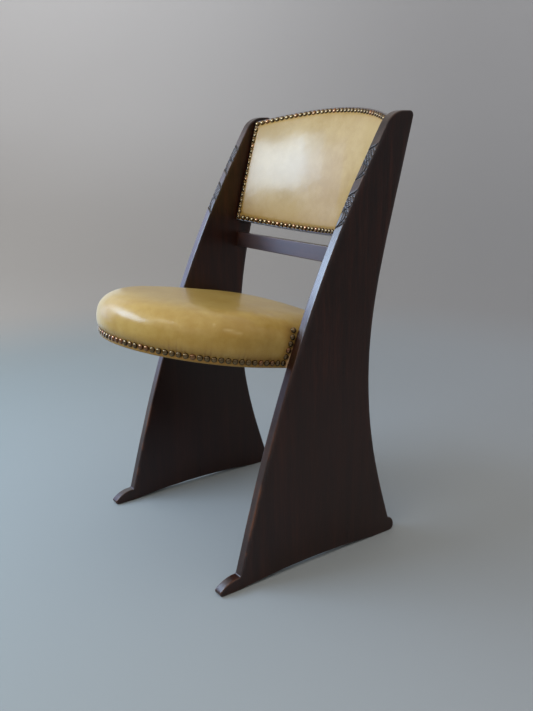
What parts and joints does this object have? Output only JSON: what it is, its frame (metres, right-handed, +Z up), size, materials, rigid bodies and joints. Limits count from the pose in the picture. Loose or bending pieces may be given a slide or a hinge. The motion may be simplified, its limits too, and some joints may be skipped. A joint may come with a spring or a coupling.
{
  "type": "occasional chair",
  "caption": "Dark oak occasional chair with shaped solid side panels, a round-fronted ochre leather seat and a bowed leather back with an arched top, edged with brass upholstery nails.",
  "frame": {"origin": "On the floor, under the middle of the chair's overall width and depth.", "axes": "+X is the sitter's left, -Y is the way the sitter faces, +Z is up."},
  "size_m": [0.424, 0.5138, 0.7783],
  "materials": {
    "dark_oak": "dark stain, satin polish, worn brown on the edges",
    "beech": "bare",
    "ochre_leather": "aged and glossy",
    "aged_brass": "tarnished, bright on the domes",
    "jute_webbing": "woven",
    "hessian": "coarse weave",
    "stuffing": "matted hair",
    "dust_cloth": "plain weave",
    "screw_steel": "dull"
  },
  "bodies": {
    "root": {"side_panel_left": "dark_oak", "side_panel_right": "dark_oak", "back_slat": "dark_oak", "back_crest_rail": "dark_oak", "back_bottom_rail": "dark_oak", "back_stile_left": "dark_oak", "back_stile_right": "dark_oak", "back_frame_dowels": "beech", "back_fixing_pegs": "beech", "back_webbing": "jute_webbing", "back_hessian": "hessian", "back_stuffing": "stuffing", "back_inside_leather": "ochre_leather", "back_outside_leather": "ochre_leather", "back_inside_nails": "aged_brass", "back_outside_nails": "aged_brass", "seat_bow_left": "beech", "seat_bow_front": "beech", "seat_bow_right": "beech", "seat_side_rail_left": "beech", "seat_side_rail_right": "beech", "seat_back_rail": "beech", "seat_corner_blocks": "beech", "seat_frame_dowels": "beech", "seat_fixing_screws": "screw_steel", "seat_webbing_lengthwise": "jute_webbing", "seat_webbing_crosswise": "jute_webbing", "seat_hessian": "hessian", "seat_stuffing": "stuffing", "seat_leather": "ochre_leather", "seat_dust_cloth": "dust_cloth", "seat_nails": "aged_brass"}
  },
  "joints": []
}
